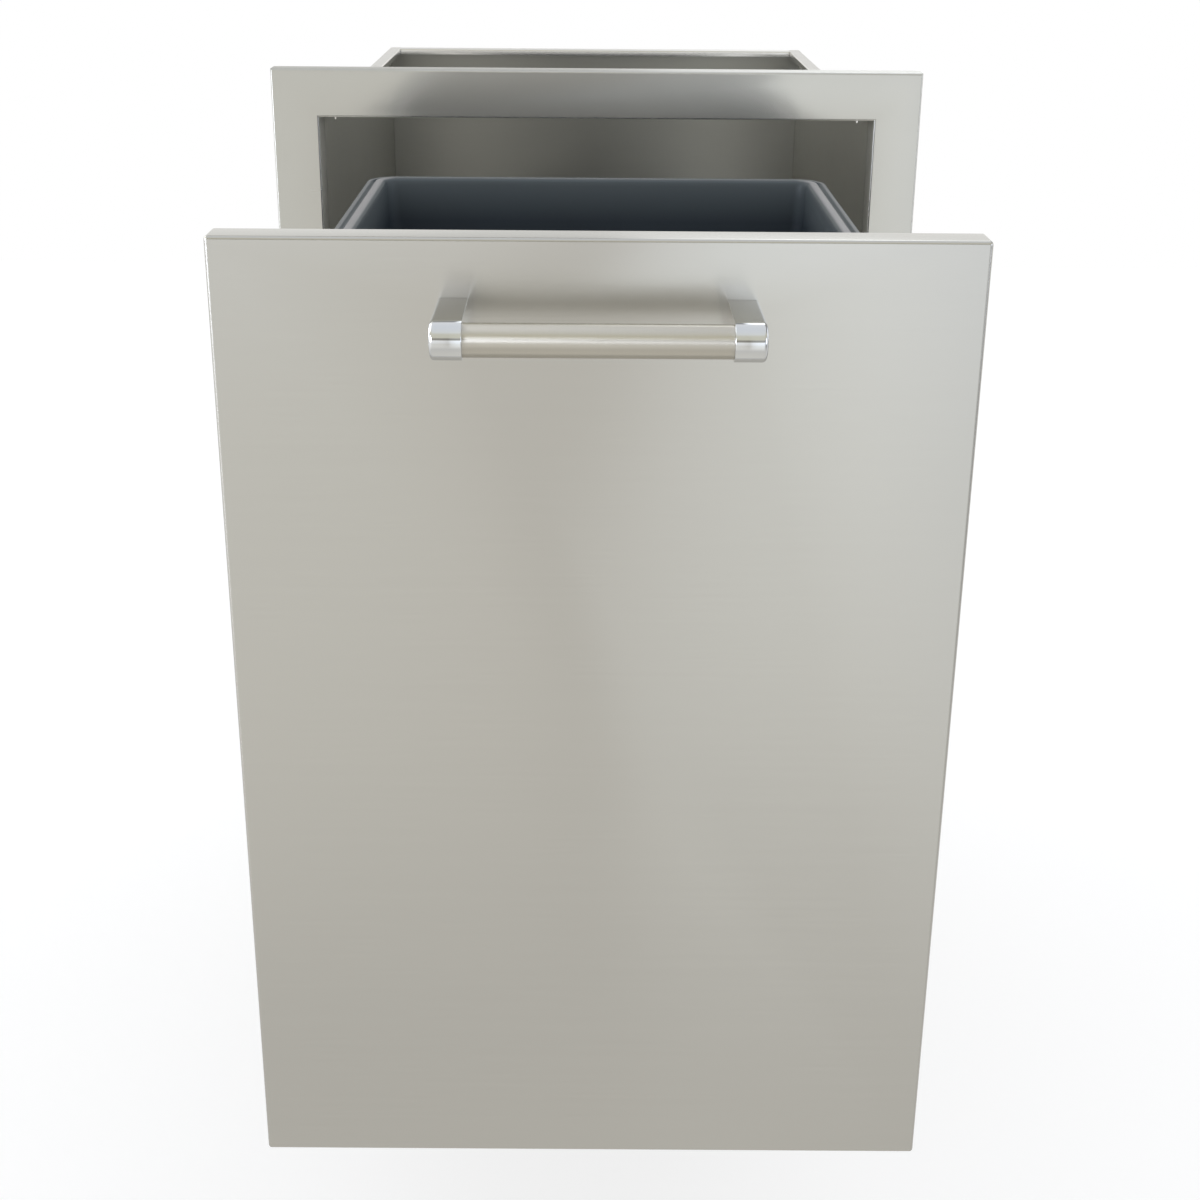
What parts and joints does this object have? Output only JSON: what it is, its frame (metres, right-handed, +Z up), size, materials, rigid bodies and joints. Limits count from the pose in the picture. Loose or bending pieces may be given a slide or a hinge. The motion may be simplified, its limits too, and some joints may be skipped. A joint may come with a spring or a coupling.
{
  "type": "pull-out trash drawer",
  "caption": "Built-in outdoor-kitchen trash drawer: a face frame, an open-topped housing and a hollow panel drawer on telescopic slides that carries a lift-out bin.",
  "frame": {"origin": "middle of the face frame's bottom back lip, in the plane of the wall that the frame lies on", "axes": "+X to the user's right, +Y into the wall, +Z up; the drawer pulls out along -Y"},
  "size_m": [0.508, 1.1142, 0.686],
  "materials": {
    "stainless": "brushed stainless sheet, satin, fine grain",
    "handle_chrome": "polished cast posts",
    "zinc_plate": "bright zinc-plated steel",
    "bearing_steel": "ground bearing steel in a pressed cage",
    "rubber": "matt black rubber",
    "bin_plastic": "charcoal moulded plastic, satin"
  },
  "bodies": {
    "ball_cage_inner_left": {"ball_cage_inner_left": "bearing_steel"},
    "ball_cage_inner_right": {"ball_cage_inner_right": "bearing_steel"},
    "ball_cage_outer_left": {"ball_cage_outer_left": "bearing_steel"},
    "ball_cage_outer_right": {"ball_cage_outer_right": "bearing_steel"},
    "drawer": {"bin_cradle": "stainless", "bracket_panel_screw_left_1": "zinc_plate", "bracket_panel_screw_left_2": "zinc_plate", "bracket_panel_screw_right_1": "zinc_plate", "bracket_panel_screw_right_2": "zinc_plate", "bracket_wall_screw_left_1": "zinc_plate", "bracket_wall_screw_left_2": "zinc_plate", "bracket_wall_screw_right_1": "zinc_plate", "bracket_wall_screw_right_2": "zinc_plate", "front_screw_1": "zinc_plate", "front_screw_2": "zinc_plate", "front_screw_3": "zinc_plate", "handle_backing_plate": "stainless", "handle_bar": "stainless", "handle_post_left": "handle_chrome", "handle_post_right": "handle_chrome", "handle_screw_left": "zinc_plate", "handle_screw_right": "zinc_plate", "panel_bracket_left": "stainless", "panel_bracket_right": "stainless", "panel_liner": "stainless", "panel_skin": "stainless", "slide_inner_left": "zinc_plate", "slide_inner_right": "zinc_plate", "tray_pan": "stainless", "tray_screw_left_1": "zinc_plate", "tray_screw_left_2": "zinc_plate", "tray_screw_left_3": "zinc_plate", "tray_screw_right_1": "zinc_plate", "tray_screw_right_2": "zinc_plate", "tray_screw_right_3": "zinc_plate", "tray_side_left": "stainless", "tray_side_right": "stainless"},
    "housing": {"face_frame": "stainless", "housing_back": "stainless", "housing_floor": "stainless", "housing_side_left": "stainless", "housing_side_right": "stainless", "slide_outer_left": "zinc_plate", "slide_outer_right": "zinc_plate", "slide_stop_left": "rubber", "slide_stop_right": "rubber", "wall_screw_left_1": "zinc_plate", "wall_screw_left_2": "zinc_plate", "wall_screw_left_3": "zinc_plate", "wall_screw_right_1": "zinc_plate", "wall_screw_right_2": "zinc_plate", "wall_screw_right_3": "zinc_plate"},
    "slide_middle_left": {"slide_middle_left": "zinc_plate"},
    "slide_middle_right": {"slide_middle_right": "zinc_plate"},
    "bin": {"trash_bin": "bin_plastic"}
  },
  "joints": [
    {"name": "drawer_slide", "type": "slide", "parent": "housing", "child": "drawer", "axis": [0, -1, 0], "range_m": [-0.476, 0.032]},
    {"name": "middle_slide_left", "type": "slide", "parent": "housing", "child": "slide_middle_left", "axis": [0, -1, 0], "range_m": [-0.238, 0.016]},
    {"name": "outer_cage_roll_left", "type": "slide", "parent": "housing", "child": "ball_cage_outer_left", "axis": [0, -1, 0], "range_m": [-0.119, 0.008]},
    {"name": "inner_cage_roll_left", "type": "slide", "parent": "housing", "child": "ball_cage_inner_left", "axis": [0, -1, 0], "range_m": [-0.357, 0.024]},
    {"name": "middle_slide_right", "type": "slide", "parent": "housing", "child": "slide_middle_right", "axis": [0, -1, 0], "range_m": [-0.238, 0.016]},
    {"name": "outer_cage_roll_right", "type": "slide", "parent": "housing", "child": "ball_cage_outer_right", "axis": [0, -1, 0], "range_m": [-0.119, 0.008]},
    {"name": "inner_cage_roll_right", "type": "slide", "parent": "housing", "child": "ball_cage_inner_right", "axis": [0, -1, 0], "range_m": [-0.357, 0.024]},
    {"name": "bin_lift", "type": "slide", "parent": "drawer", "child": "bin", "axis": [0, 0, 1], "range_m": [0, 0.6]}
  ],
  "couplings": [
    {"joint": "middle_slide_left", "follows": "drawer_slide", "ratio": 0.5},
    {"joint": "outer_cage_roll_left", "follows": "drawer_slide", "ratio": 0.25},
    {"joint": "inner_cage_roll_left", "follows": "drawer_slide", "ratio": 0.75},
    {"joint": "middle_slide_right", "follows": "drawer_slide", "ratio": 0.5},
    {"joint": "outer_cage_roll_right", "follows": "drawer_slide", "ratio": 0.25},
    {"joint": "inner_cage_roll_right", "follows": "drawer_slide", "ratio": 0.75}
  ]
}
